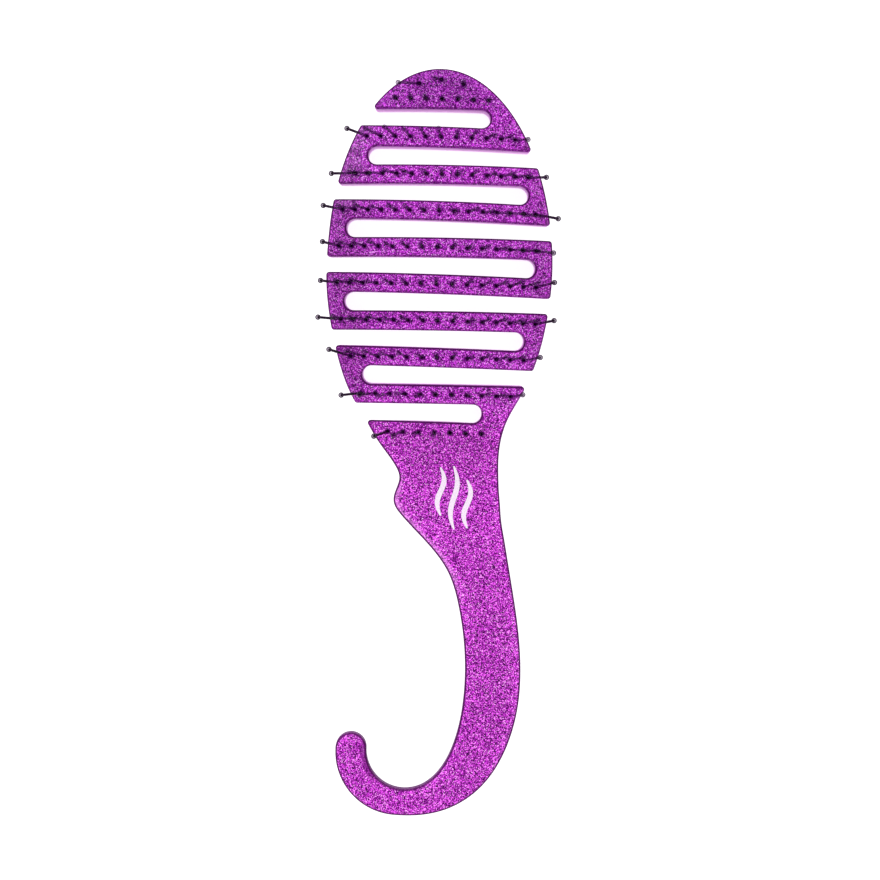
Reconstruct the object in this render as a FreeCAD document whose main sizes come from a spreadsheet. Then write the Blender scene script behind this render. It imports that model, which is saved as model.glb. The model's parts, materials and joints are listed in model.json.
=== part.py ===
import FreeCAD, Part
import math
import os
import Sketcher
from FreeCAD import Placement, Rotation, Vector

# A vented detangling hairbrush that lies on its back, pins up.
# X runs across the head, Y along the brush towards the tip of the head, Z up.
# The outline is drawn about the middle of the head. A shared Placement then
# puts the origin on the flat back of the grip.

DIMENSIONS = [
    # plan of the head: an ellipse down to where the sides start
    ("head_width", 75.0),
    ("head_length", 130.5),
    ("sides_start", -12.0),
    # slots that open on alternate sides and leave eight bars between them
    ("slot_pitch", 12.14),
    ("middle_slot", -0.88),
    ("first_slot_lift", 0.8),
    ("slot_end_radius", 3.05),
    ("slot_taper", 0.5),
    ("slot_slope", 1.5),
    ("slot_reach", 90.0),
    ("mouth_radius", 1.0),
    ("web_1", 8.3),
    ("web_2", 7.6),
    ("web_3", 5.6),
    ("web_4", 5.8),
    ("web_5", 5.7),
    ("web_6", 5.5),
    ("web_7", 6.3),
    ("web_8", 6.0),
    ("web_9", 9.9),
    # hook at the end of the handle
    ("hook_inner_x", -11.7),
    ("hook_inner_y", -161.5),
    ("hook_inner_radius", 12.83),
    ("hook_inner_start", -60.0),
    ("hook_outer_x", -13.77),
    ("hook_outer_y", -161.9),
    ("hook_outer_radius", 21.03),
    ("hook_outer_start", -95.0),
    ("hook_tip_angle", 176.3),
    # heights: a dome over the head, a flat grip behind it
    ("dome_length_radius", 280.0),
    ("dome_width_radius", 100.0),
    ("head_front_thickness", 3.0),
    ("head_total_thickness", 5.0),
    ("grip_front_thickness", 5.0),
    ("grip_total_thickness", 7.5),
    ("neck_blend_start", 50.0),
    ("fade_start", 44.0),
    ("fade_end", 66.0),
    # pins
    ("pin_diameter", 0.88),
    ("pin_length", 17.2),
    ("nail_diameter", 1.8),
    ("nail_thickness", 0.6),
    ("nail_depth", 2.0),
    ("pin_clearance", 0.04),
    ("bead_diameter", 1.85),
    ("bead_socket_depth", 0.7),
    ("pin_row_radius", 56.0),
    ("cap_row_radius", 18.0),
    # place of the flat rest face's middle, seen from the middle of the head
    ("rest_x", 14.0),
    ("rest_y", -110.0),
]

# Sides, neck and grip: distance below the middle of the head, middle of the
# width seen from the head's axis, and width.
HANDLE_STATIONS = [
    (-4.0, -0.08, 75.05),
    (5.0, -0.28, 75.25),
    (15.0, -0.45, 73.40),
    (25.0, -0.55, 69.70),
    (33.3, -0.80, 65.20),
    (44.0, -1.18, 56.15),
    (51.7, -1.13, 47.15),
    (58.7, -0.20, 40.70),
    (66.3, 2.10, 34.50),
    (70.7, 2.95, 32.90),
    (77.3, 2.15, 35.10),
    (79.3, 2.30, 35.20),
    (83.0, 3.52, 33.20),
    (92.7, 8.70, 25.70),
    (102.0, 12.80, 20.50),
    (114.0, 15.63, 18.70),
    (132.3, 17.50, 18.40),
    (146.0, 16.78, 18.40),
    (156.7, 14.40, 18.10),
]

# The heel of the hook, where the handle's outer edge turns into the hook.
HEEL = [(14.95, -172.1), (8.56, -177.7), (-0.88, -181.92)]

# Rows of pins, from the tip of the head to the handle. Each row has its name,
# its place (slot pitches above the middle slot), the middle of the row, its
# span, the number of pins, then two tilts in degrees: sideways (positive to
# the right) and lengthways (positive to the handle). A tilt is given for the
# first pin, for the middle of the row and for the last pin.
PIN_ROWS = [
    ("cap_upper", 5.14, 0.5, 14.6, 3, (-26.5, -3.0, 0.0), (7.0, 5.0, 6.0)),
    ("cap_lower", 4.59, 0.7, 30.7, 7, (-1.0, 0.0, 1.0), (6.0, 6.5, 6.5)),
    ("bar_1", 3.53, 0.3, 49.3, 11, (-23.0, 0.0, 14.0), (-3.0, -4.0, 6.5)),
    ("bar_2", 2.5, 0.6, 57.2, 13, (-29.0, 0.0, 21.0), (6.5, 0.0, 5.5)),
    ("bar_3", 1.5, -0.3, 64.0, 15, (-22.0, 0.0, 27.0), (0.0, 0.0, 11.0)),
    ("bar_4", 0.5, -0.9, 65.3, 15, (-18.0, 0.0, 20.0), (-1.0, 0.0, 7.0)),
    ("bar_5", -0.5, -1.2, 66.0, 15, (-18.0, 0.0, 21.0), (1.0, 0.0, -3.0)),
    ("bar_6", -1.5, -0.7, 64.5, 15, (-26.5, 0.0, 21.5), (0.0, 0.0, -2.0)),
    ("bar_7", -2.5, -1.0, 57.3, 13, (-25.5, 0.0, 19.0), (-7.0, 0.0, -2.0)),
    ("bar_8", -3.5, -1.4, 49.5, 11, (-23.5, 0.0, 13.5), (4.0, 1.0, -1.5)),
    ("panel", -4.53, -1.9, 30.9, 7, (-16.0, 0.0, 1.0), (6.5, 1.5, 1.0)),
]
CURVED_ROW = "cap_upper"

# How fast a row's end tilts fade towards its middle.
TILT_FADE = 2.5

# Neighbouring pins differ a little: by how many degrees, and how fast the
# pattern runs along a row and from row to row.
STRAY_SIDEWAYS = (1.3, 5.1, 0.7)
STRAY_LENGTHWAYS = (1.6, 3.7, 1.3)

SLOT_COUNT = 9
MIDDLE_SLOT = 5

# The grid of points that the height surfaces pass through.
GRID_ACROSS = [-44 + 8 * step for step in range(12)]
GRID_ALONG = [72 - 5 * step for step in range(53)]
GRID_DEPTH = 60

# How far past the grip's flat back the shell's volume goes before it is cut.
BACK_OVERCUT = 1.0


def add_sheet(doc):
    """Put every driving dimension in a sheet cell that carries its name."""
    sheet = doc.addObject("Spreadsheet::Sheet", "dims")
    for row, (alias, value) in enumerate(DIMENSIONS, start=1):
        sheet.set("A%d" % row, alias)
        sheet.set("B%d" % row, str(value))
        sheet.setAlias("B%d" % row, alias)
    doc.recompute()
    return sheet


# ---------------------------------------------------------------- outline

def head_point(dims, height, side):
    """Point of the head's ellipse at a height, on the right (+1) or left (-1)."""
    ratio = height / (dims.head_length / 2)
    return Vector(side * dims.head_width / 2 * math.sqrt(1 - ratio * ratio), height, 0)


def head_direction(dims, height, side):
    """Direction of the ellipse at that point, walking away from the tip."""
    point = head_point(dims, height, side)
    half_width = dims.head_width / 2
    half_length = dims.head_length / 2
    run = Vector(point.y / half_length ** 2, -point.x / half_width ** 2, 0)
    return run.normalize() * side


def hook_inner(dims, angle):
    """Point on the inner circle of the hook."""
    turn = math.radians(angle)
    middle = Vector(dims.hook_inner_x, dims.hook_inner_y, 0)
    return middle + Vector(math.cos(turn), math.sin(turn), 0) * dims.hook_inner_radius


def hook_outer(dims, angle):
    """Point on the outer circle of the hook."""
    turn = math.radians(angle)
    middle = Vector(dims.hook_outer_x, dims.hook_outer_y, 0)
    return middle + Vector(math.cos(turn), math.sin(turn), 0) * dims.hook_outer_radius


def hook_direction(angle):
    """Counter-clockwise direction of such a circle."""
    turn = math.radians(angle)
    return Vector(-math.sin(turn), math.cos(turn), 0)


def smooth_edge(points, first_direction, last_direction):
    """A curve through the points that leaves and arrives in given directions."""
    run = [0.0]
    for start, end in zip(points, points[1:]):
        run.append(run[-1] + start.distanceToPoint(end))
    curve = Part.BSplineCurve()
    curve.interpolate(
        Points=points,
        Parameters=run,
        InitialTangent=first_direction,
        FinalTangent=last_direction,
        Scale=False,
    )
    return curve.toShape()


def handle_edge(side):
    """Points down one edge of the head, neck and grip."""
    return [Vector(middle + side * width / 2, -below, 0)
            for below, middle, width in HANDLE_STATIONS]


def outline_face(dims):
    """Head, neck, grip and hook as one face."""
    height = -dims.sides_start
    right_start = head_point(dims, height, 1)
    left_end = head_point(dims, height, -1)
    tip = Vector(0, dims.head_length / 2, 0)
    ellipse = Part.Ellipse(tip, Vector(dims.head_width / 2, 0, 0), Vector(0, 0, 0))
    turn = math.acos(height / (dims.head_length / 2))
    head = Part.ArcOfEllipse(ellipse, -turn, turn).toShape()

    tip_angle = dims.hook_tip_angle - 360
    outer_start = hook_outer(dims, dims.hook_outer_start)
    outer_end = hook_outer(dims, tip_angle)
    inner_end = hook_inner(dims, tip_angle)
    inner_start = hook_inner(dims, dims.hook_inner_start)

    heel = [Vector(x, y, 0) for x, y in HEEL]
    right = smooth_edge(
        [right_start] + handle_edge(1) + heel + [outer_start],
        head_direction(dims, height, 1),
        hook_direction(dims.hook_outer_start) * -1,
    )
    outer_bottom = hook_outer(dims, (dims.hook_outer_start + tip_angle) / 2)
    outer_arc = Part.Arc(outer_start, outer_bottom, outer_end).toShape()
    across = inner_end - outer_end
    tip_top = (inner_end + outer_end) * 0.5 + Vector(-across.y, across.x, 0) * 0.5
    tip_arc = Part.Arc(outer_end, tip_top, inner_end).toShape()
    inner_bottom = hook_inner(dims, (dims.hook_inner_start + tip_angle) / 2)
    inner_arc = Part.Arc(inner_end, inner_bottom, inner_start).toShape()
    left = smooth_edge(
        [inner_start] + handle_edge(-1)[::-1] + [left_end],
        hook_direction(dims.hook_inner_start),
        head_direction(dims, height, -1) * -1,
    )
    return Part.Face(Part.Wire([head, right, outer_arc, tip_arc, inner_arc, left]))


# ---------------------------------------------------------------- heights

def smooth_step(value):
    """0 below 0, 1 above 1, with a soft start and end between."""
    held = min(max(value, 0.0), 1.0)
    return held * held * (3 - 2 * held)


def arc_drop(radius, run):
    """How far a circle has fallen at a distance from its top."""
    return radius - math.sqrt(radius * radius - run * run)


def dome_apex(dims):
    """Height of the dome's top: its rim at the tip rests at zero."""
    return dims.head_total_thickness + arc_drop(dims.dome_length_radius,
                                                dims.head_length / 2)


def spine_height(dims, y):
    """Front surface along the axis: the dome, a hollow blend, the flat grip."""
    radius = dims.dome_length_radius
    start = dims.neck_blend_start
    if y > -start:
        return dome_apex(dims) - arc_drop(radius, y)
    slope = math.asin(start / radius)
    at_start = dome_apex(dims) - arc_drop(radius, start)
    blend_radius = (at_start - dims.grip_total_thickness) / (1 - math.cos(slope))
    past = -y - start
    blend_length = blend_radius * math.sin(slope)
    if past > blend_length:
        return dims.grip_total_thickness
    return dims.grip_total_thickness + arc_drop(blend_radius, blend_length - past)


def grip_share(dims, y):
    """0 on the head, 1 on the grip."""
    return smooth_step((-y - dims.fade_start) / (dims.fade_end - dims.fade_start))


def front_height(dims, x, y):
    """Height of the pin side of the brush."""
    side_drop = arc_drop(dims.dome_width_radius, x)
    return spine_height(dims, y) - side_drop * (1 - grip_share(dims, y))


def seam_height(dims, x, y):
    """Height of the seam between the front shell and the back cover."""
    share = grip_share(dims, y)
    depth = dims.head_front_thickness * (1 - share) + dims.grip_front_thickness * share
    return front_height(dims, x, y) - depth


def back_height(dims, x, y):
    """Height of the back. On the grip it dips below zero, where a flat cut ends it."""
    share = grip_share(dims, y)
    grip_depth = dims.grip_total_thickness + BACK_OVERCUT
    depth = dims.head_total_thickness * (1 - share) + grip_depth * share
    return front_height(dims, x, y) - depth


def volume_below(dims, height):
    """Everything below a height surface, as one solid."""
    grid = [[Vector(x, y, height(dims, x, y)) for y in GRID_ALONG]
            for x in GRID_ACROSS]
    surface = Part.BSplineSurface()
    surface.interpolate(grid)
    return surface.toShape().extrude(Vector(0, 0, -GRID_DEPTH))


# ---------------------------------------------------------------- helpers

def shape_object(doc, name, shape):
    """A document object that holds a shape made with Part's functions."""
    item = doc.addObject("Part::Feature", name)
    item.Shape = shape
    return item


def boolean(doc, kind, name, base, tool):
    """Cut or Common of two objects."""
    item = doc.addObject("Part::" + kind, name)
    item.Base = base
    item.Tool = tool
    return item


# ---------------------------------------------------------------- slots

def slot_opens_left(number):
    """Odd slots open on the left, even ones on the right."""
    return number % 2 == 1


def slot_height(dims, number):
    """Height of a slot where it crosses the axis."""
    lift = dims.first_slot_lift if number == 1 else 0
    return pitch_height(dims, MIDDLE_SLOT - number) + lift


def pitch_height(dims, pitches):
    """Height of a line so many slot pitches above the middle slot."""
    return dims.middle_slot + pitches * dims.slot_pitch


def rim_position(dims, height, side):
    """Distance of the brush's rim from its axis, at a height."""
    if height > -dims.sides_start:
        return head_point(dims, height, side).x
    stations = [(dims.sides_start, head_point(dims, -dims.sides_start, side).x)]
    stations += [(below, middle + side * width / 2)
                 for below, middle, width in HANDLE_STATIONS]
    for (below, near), (further, far) in zip(stations, stations[1:]):
        if further >= -height:
            share = (-height - below) / (further - below)
            return near + (far - near) * share


def slot_end(dims, number):
    """Middle of a slot's round closed end, and the slot's turn about Z."""
    side = 1 if slot_opens_left(number) else -1
    height = slot_height(dims, number)
    rim = abs(rim_position(dims, height, side))
    web = getattr(dims, "web_%d" % number)
    x = side * (rim - web - dims.slot_end_radius)
    slope = math.radians(dims.slot_slope)
    turn = 180 - dims.slot_slope if side > 0 else -dims.slot_slope
    return Vector(x, height - x * math.tan(slope), 0), turn


def slot_cutter(doc, dims, number):
    """A slot as a sketch: round closed end, sides that close in to the mouth."""
    sketch = doc.addObject("Sketcher::SketchObject", "slot_sketch_%d" % number)
    radius = dims.slot_end_radius
    reach = dims.slot_reach
    taper = math.radians(dims.slot_taper)
    mouth = radius / math.cos(taper) - reach * math.tan(taper)
    touch_x = radius * math.sin(taper)
    touch_y = radius * math.cos(taper)
    arc = Part.ArcOfCircle(
        Part.Circle(Vector(0, 0, 0), Vector(0, 0, 1), radius),
        math.pi / 2 - taper, 3 * math.pi / 2 + taper)
    sketch.addGeometry(arc)
    sketch.addGeometry(Part.LineSegment(
        Vector(touch_x, touch_y, 0), Vector(reach, mouth, 0)))
    sketch.addGeometry(Part.LineSegment(
        Vector(reach, mouth, 0), Vector(reach, -mouth, 0)))
    sketch.addGeometry(Part.LineSegment(
        Vector(reach, -mouth, 0), Vector(touch_x, -touch_y, 0)))
    sketch.addConstraint([
        Sketcher.Constraint("Coincident", 0, 3, -1, 1),
        Sketcher.Constraint("Tangent", 0, 1, 1, 1),
        Sketcher.Constraint("Coincident", 1, 2, 2, 1),
        Sketcher.Constraint("Coincident", 2, 2, 3, 1),
        Sketcher.Constraint("Tangent", 0, 2, 3, 2),
        Sketcher.Constraint("Symmetric", 2, 1, 2, 2, -1),
    ])
    end_radius = sketch.addConstraint(Sketcher.Constraint("Radius", 0, radius))
    length = sketch.addConstraint(Sketcher.Constraint("DistanceX", -1, 1, 1, 2, reach))
    side_angle = sketch.addConstraint(Sketcher.Constraint("Angle", 1, -taper))
    sketch.setExpression("Constraints[%d]" % end_radius, "dims.slot_end_radius")
    sketch.setExpression("Constraints[%d]" % length, "dims.slot_reach")
    sketch.setExpression("Constraints[%d]" % side_angle, "-dims.slot_taper * 1 deg")
    cutter = doc.addObject("Part::Extrusion", "slot_%d" % number)
    cutter.Base = sketch
    cutter.DirMode = "Normal"
    cutter.Solid = True
    cutter.setExpression("LengthFwd", "4 * dims.grip_total_thickness")
    cutter.setExpression("LengthRev", "dims.grip_total_thickness")
    middle, turn = slot_end(dims, number)
    sketch.Placement = Placement(middle, Rotation(Vector(0, 0, 1), turn))
    return cutter


def corner_edges(shape):
    """Numbers of the upright edges where two walls meet at an angle."""
    numbers = []
    for number, edge in enumerate(shape.Edges, start=1):
        start, end = edge.Vertexes[0].Point, edge.Vertexes[-1].Point
        upright = abs(start.x - end.x) + abs(start.y - end.y) < 1e-6
        if not upright or abs(start.z - end.z) < 1:
            continue
        middle = (start + end) * 0.5
        normals = []
        for face in shape.ancestorsOfType(edge, Part.Face):
            u, v = face.Surface.parameter(middle)
            normals.append(face.normalAt(u, v))
        if len(normals) == 2 and abs(normals[0].dot(normals[1])) < 0.9:
            numbers.append(number)
    return numbers


def plan_block(doc, dims):
    """The whole outline as a tall block, with its slots and rounded mouths."""
    outline = shape_object(doc, "outline", outline_face(dims))
    block = doc.addObject("Part::Extrusion", "outline_block")
    block.Base = outline
    block.DirMode = "Custom"
    block.Dir = Vector(0, 0, 1)
    block.Solid = True
    block.setExpression("LengthFwd", "3 * dims.grip_total_thickness")
    slots = doc.addObject("Part::Compound", "slots")
    slots.Links = [slot_cutter(doc, dims, number)
                   for number in range(1, SLOT_COUNT + 1)]
    slotted = boolean(doc, "Cut", "slotted_block", block, slots)
    doc.recompute()
    rounded = doc.addObject("Part::Fillet", "plan_block")
    rounded.Base = slotted
    rounded.Edges = [(number, dims.mouth_radius, dims.mouth_radius)
                     for number in corner_edges(slotted.Shape)]
    return rounded


# ---------------------------------------------------------------- shells

def front_shell(doc, dims, plan, holes):
    """Bars, grip and hook: the moulding that carries the pins."""
    top = shape_object(doc, "below_front", volume_below(dims, front_height))
    seam = shape_object(doc, "below_seam", volume_below(dims, seam_height))
    capped = boolean(doc, "Common", "front_capped", plan, top)
    blank = boolean(doc, "Cut", "front_blank", capped, seam)
    shell = boolean(doc, "Cut", "front_shell", blank, holes)
    return shell, seam


def back_cover(doc, dims, plan, seam):
    """The backing that closes the pin heads in, flat under the grip."""
    below = shape_object(doc, "below_back", volume_below(dims, back_height))
    capped = boolean(doc, "Common", "back_capped", plan, seam)
    return boolean(doc, "Cut", "back_cover", capped, below)


# ---------------------------------------------------------------- pins

def stray(pattern, index, height):
    """Small deviation of one pin from its row, in degrees."""
    size, along_row, across_rows = pattern
    return size * math.sin(along_row * index + across_rows * height)


def tilt(values, run, deviation):
    """Tilt of a pin in radians, where run goes from 0 to 1 along its row."""
    first, middle, last = values
    even = (middle + (first - middle) * (1 - run) ** TILT_FADE
            + (last - middle) * run ** TILT_FADE)
    return math.radians(even + deviation * 4 * run * (1 - run))


def pin_spots(dims, row):
    """Foot and direction of every pin in a row."""
    name, pitches, middle, span, count, sideways, lengthways = row
    height = pitch_height(dims, pitches)
    slope = math.tan(math.radians(dims.slot_slope))
    bend = math.asin(span / 2 / dims.pin_row_radius)
    spots = []
    for index in range(count):
        run = index / (count - 1)
        offset = dims.pin_row_radius * math.sin(bend * (2 * run - 1))
        x = middle + offset
        y = height - x * slope
        if name == CURVED_ROW:
            y -= arc_drop(dims.cap_row_radius, offset)
        right = tilt(sideways, run, stray(STRAY_SIDEWAYS, index, height))
        down = tilt(lengthways, run, stray(STRAY_LENGTHWAYS, index, height))
        direction = Vector(math.tan(right), -math.tan(down), 1).normalize()
        spots.append((Vector(x, y, front_height(dims, x, y)), direction))
    return spots


def pin_placements(dims, row):
    """Where a pin's seat goes, below the front surface, and how it is turned."""
    upright = Vector(0, 0, 1)
    return [Placement(foot - direction * dims.nail_depth,
                      Rotation(upright, direction))
            for foot, direction in pin_spots(dims, row)]


def copies(shape, placements):
    """One copy of a solid for each placement, as a group of separate solids."""
    solids = []
    for place in placements:
        solid = shape.copy()
        solid.Placement = place
        solids.append(solid)
    return Part.makeCompound(solids)


def turned_body(doc, name, points, expressions):
    """A body turned about Z from a half profile given corner by corner."""
    body = doc.addObject("PartDesign::Body", name)
    sketch = body.newObject("Sketcher::SketchObject", name + "_profile")
    planes = [item for item in body.Origin.OriginFeatures if item.Role == "XZ_Plane"]
    sketch.AttachmentSupport = [(planes[0], "")]
    sketch.MapMode = "FlatFace"
    corners = [Vector(x, z, 0) for x, z in points]
    for start, end in zip(corners, corners[1:] + corners[:1]):
        sketch.addGeometry(Part.LineSegment(start, end))
    count = len(corners)
    for number in range(count):
        sketch.addConstraint(
            Sketcher.Constraint("Coincident", number, 2, (number + 1) % count, 1))
    for number, (across, up) in enumerate(expressions):
        for kind, text, value in (("DistanceX", across, corners[number].x),
                                  ("DistanceY", up, corners[number].y)):
            if text == "0":
                axis = -2 if kind == "DistanceX" else -1
                sketch.addConstraint(
                    Sketcher.Constraint("PointOnObject", number, 1, axis))
                continue
            index = sketch.addConstraint(
                Sketcher.Constraint(kind, -1, 1, number, 1, value))
            sketch.setExpression("Constraints[%d]" % index, text)
    turn = body.newObject("PartDesign::Revolution", name + "_turn")
    turn.Profile = sketch
    turn.ReferenceAxis = (sketch, ["V_Axis"])
    turn.Angle = 360
    return body


def pin_body(doc, dims):
    """One pin: a nail head below its seat and a thin round shaft above it."""
    nail = dims.nail_diameter / 2
    shaft = dims.pin_diameter / 2
    points = [(0, -dims.nail_thickness), (nail, -dims.nail_thickness), (nail, 0),
              (shaft, 0), (shaft, dims.pin_length), (0, dims.pin_length)]
    nail_text = "dims.nail_diameter / 2"
    shaft_text = "dims.pin_diameter / 2"
    expressions = [
        ("0", "-dims.nail_thickness"), (nail_text, "-dims.nail_thickness"),
        (nail_text, "0"), (shaft_text, "0"),
        (shaft_text, "dims.pin_length"), ("0", "dims.pin_length")]
    return turned_body(doc, "single_pin", points, expressions)


def hole_body(doc, dims):
    """The room for one pin: a bore for the shaft over a pocket for the nail head."""
    gap = dims.pin_clearance
    nail = dims.nail_diameter / 2 + gap
    shaft = dims.pin_diameter / 2 + gap
    reach = 2 * dims.nail_depth
    points = [(0, -reach), (nail, -reach), (nail, gap),
              (shaft, gap), (shaft, reach), (0, reach)]
    nail_text = "dims.nail_diameter / 2 + dims.pin_clearance"
    shaft_text = "dims.pin_diameter / 2 + dims.pin_clearance"
    expressions = [
        ("0", "-2 * dims.nail_depth"), (nail_text, "-2 * dims.nail_depth"),
        (nail_text, "dims.pin_clearance"), (shaft_text, "dims.pin_clearance"),
        (shaft_text, "2 * dims.nail_depth"), ("0", "2 * dims.nail_depth")]
    return turned_body(doc, "pin_room", points, expressions)


def bead(doc):
    """One round bead with a socket for the pin's end, about the pin's axis."""
    ball = doc.addObject("Part::Sphere", "bead_ball")
    ball.setExpression("Radius", "dims.bead_diameter / 2")
    socket = doc.addObject("Part::Cylinder", "bead_socket")
    socket.setExpression("Radius", "dims.pin_diameter / 2")
    socket.setExpression("Height", "dims.bead_diameter")
    socket.setExpression(
        "Placement.Base.z",
        "dims.bead_socket_depth - 1.5 * dims.bead_diameter")
    return boolean(doc, "Cut", "single_bead", ball, socket)


def build():
    """Build every sub-part and return those that are written out."""
    doc = FreeCAD.newDocument("detangling_brush")
    dims = add_sheet(doc)
    rest = Placement(Vector(-dims.rest_x, -dims.rest_y, 0), Rotation())

    pin = pin_body(doc, dims)
    room = hole_body(doc, dims)
    ball = bead(doc)
    doc.recompute()

    places = {row[0]: pin_placements(dims, row) for row in PIN_ROWS}
    every_place = [place for row in PIN_ROWS for place in places[row[0]]]
    holes = shape_object(doc, "pin_rooms", copies(room.Shape, every_place))
    plan = plan_block(doc, dims)
    shell, seam = front_shell(doc, dims, plan, holes)
    cover = back_cover(doc, dims, plan, seam)
    parts = [shell, cover]

    bead_rise = dims.pin_length + dims.bead_diameter / 2 - dims.bead_socket_depth
    bead_lift = Placement(Vector(0, 0, bead_rise), Rotation())
    for name, row_places in places.items():
        parts.append(shape_object(doc, "pins_" + name, copies(pin.Shape, row_places)))
        lifted = [place.multiply(bead_lift) for place in row_places]
        parts.append(shape_object(doc, "beads_" + name, copies(ball.Shape, lifted)))
    doc.recompute()
    for part in parts:
        part.Label = part.Name
        part.Placement = rest.multiply(part.Placement)
    doc.recompute()
    return doc, parts


def check(doc, parts):
    """Stop if an object failed or a sub-part has no valid shape."""
    for item in doc.Objects:
        if "Invalid" in item.State or "Error" in item.State:
            raise RuntimeError("failed object: " + item.Name + " " + item.getStatusString())
    for part in parts:
        if part.Shape.isNull() or not part.Shape.isValid():
            raise RuntimeError("bad shape: " + part.Name)


def write(parts):
    """Write one STEP file for each sub-part."""
    os.makedirs("parts", exist_ok=True)
    for part in parts:
        part.Shape.exportStep("parts/%s.step" % part.Label)


document, sub_parts = build()
check(document, sub_parts)
write(sub_parts)
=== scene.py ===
import json
import math

import bmesh
import bpy
import numpy as np
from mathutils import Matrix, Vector, geometry, kdtree


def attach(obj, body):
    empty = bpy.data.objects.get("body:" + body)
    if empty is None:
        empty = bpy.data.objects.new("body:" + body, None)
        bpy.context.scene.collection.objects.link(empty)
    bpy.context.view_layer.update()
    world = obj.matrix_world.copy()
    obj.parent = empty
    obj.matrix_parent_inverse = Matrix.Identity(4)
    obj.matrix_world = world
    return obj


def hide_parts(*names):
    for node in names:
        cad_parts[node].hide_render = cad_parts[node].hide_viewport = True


# A vented detangling brush in translucent glitter plastic, lying on its back.
# The CAD pins and beads are shown as they are. The two shells are rebuilt here
# with rounded rims and a crowned grip, inside the CAD outline and box.
# Shape functions work in millimetres about the middle of the head.

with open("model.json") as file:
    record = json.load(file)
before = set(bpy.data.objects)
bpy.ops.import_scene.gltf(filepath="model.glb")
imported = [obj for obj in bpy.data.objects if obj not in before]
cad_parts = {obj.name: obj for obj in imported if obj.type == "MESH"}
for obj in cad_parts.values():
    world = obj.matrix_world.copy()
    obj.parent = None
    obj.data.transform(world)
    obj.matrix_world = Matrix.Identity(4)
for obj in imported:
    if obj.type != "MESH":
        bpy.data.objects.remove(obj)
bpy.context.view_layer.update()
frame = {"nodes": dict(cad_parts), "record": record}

MM = 0.001

# ------------------------------------------------------------ driving sizes

# All in millimetres, and the same as in the CAD source.
HEAD_LENGTH = 130.5
HEAD_WIDTH = 75.0
DOME_LENGTH_RADIUS = 280.0
DOME_WIDTH_RADIUS = 100.0
HEAD_FRONT_THICKNESS = 3.0
HEAD_THICKNESS = 5.0
GRIP_FRONT_THICKNESS = 5.0
GRIP_THICKNESS = 7.5
# Distances below the middle of the head: where the dome starts to blend into the
# grip, and where the head's shape starts and ends its fade into the grip's.
NECK_BLEND_START = 50.0
FADE_START = 44.0
FADE_END = 66.0
# The grip is this much deeper than its thickness, and is cut off flat at 0.
GRIP_BACK_SPARE = 1.0

# The middle of the hook's inner arc, seen from the middle of the head.
HOOK_X = -11.7
HOOK_Y = -161.5

hook_place = next(mount["pos_m"] for mount in frame["record"]["mounts"]
                  if mount["name"] == "hook")
HEAD_X = hook_place[0] / MM - HOOK_X
HEAD_Y = hook_place[1] / MM - HOOK_Y


# ------------------------------------------------------------ height surfaces

def smooth_step(value):
    """0 below 0, 1 above 1, soft between."""
    held = min(max(value, 0.0), 1.0)
    return held * held * (3 - 2 * held)


def arc_drop(radius, run):
    """How far a circle has fallen at a distance from its top."""
    return radius - math.sqrt(radius * radius - run * run)


def dome_apex():
    return HEAD_THICKNESS + arc_drop(DOME_LENGTH_RADIUS, HEAD_LENGTH / 2)


def spine_height(y):
    """Front surface along the axis: the dome, a hollow blend, the flat grip."""
    start = NECK_BLEND_START
    if y > -start:
        return dome_apex() - arc_drop(DOME_LENGTH_RADIUS, y)
    slope = math.asin(start / DOME_LENGTH_RADIUS)
    at_start = dome_apex() - arc_drop(DOME_LENGTH_RADIUS, start)
    blend_radius = (at_start - GRIP_THICKNESS) / (1 - math.cos(slope))
    past = -y - start
    blend_length = blend_radius * math.sin(slope)
    if past > blend_length:
        return GRIP_THICKNESS
    return GRIP_THICKNESS + arc_drop(blend_radius, blend_length - past)


def grip_share(y):
    """0 on the head, 1 on the grip."""
    return smooth_step((-y - FADE_START) / (FADE_END - FADE_START))


def front_height(x, y):
    return spine_height(y) - arc_drop(DOME_WIDTH_RADIUS, x) * (1 - grip_share(y))


def seam_height(x, y):
    share = grip_share(y)
    depth = HEAD_FRONT_THICKNESS * (1 - share) + GRIP_FRONT_THICKNESS * share
    return front_height(x, y) - depth


def back_height(x, y):
    share = grip_share(y)
    depth = HEAD_THICKNESS * (1 - share) + (GRIP_THICKNESS + GRIP_BACK_SPARE) * share
    return max(front_height(x, y) - depth, 0.0)


# ------------------------------------------------------------ outline

# Distance in metres within which two vertices are one.
WELD = 1e-6
# A face with this much of its normal upwards belongs to the upper surface.
LOOKS_UP = 0.6
# The least distance between two rim points, in millimetres.
RIM_POINT_GAP = 0.04
# The outline is first sampled at FINE_STEP. Its bend is measured over BEND_REACH
# samples and spread over BEND_SPREAD. The points that are kept turn by about
# TURN_PER_POINT radians each, and are between CLOSEST and WIDEST apart.
FINE_STEP = 0.1
BEND_REACH = 4
BEND_SPREAD = 9
TURN_PER_POINT = 0.13
CLOSEST = 0.28
WIDEST = 1.5


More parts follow.
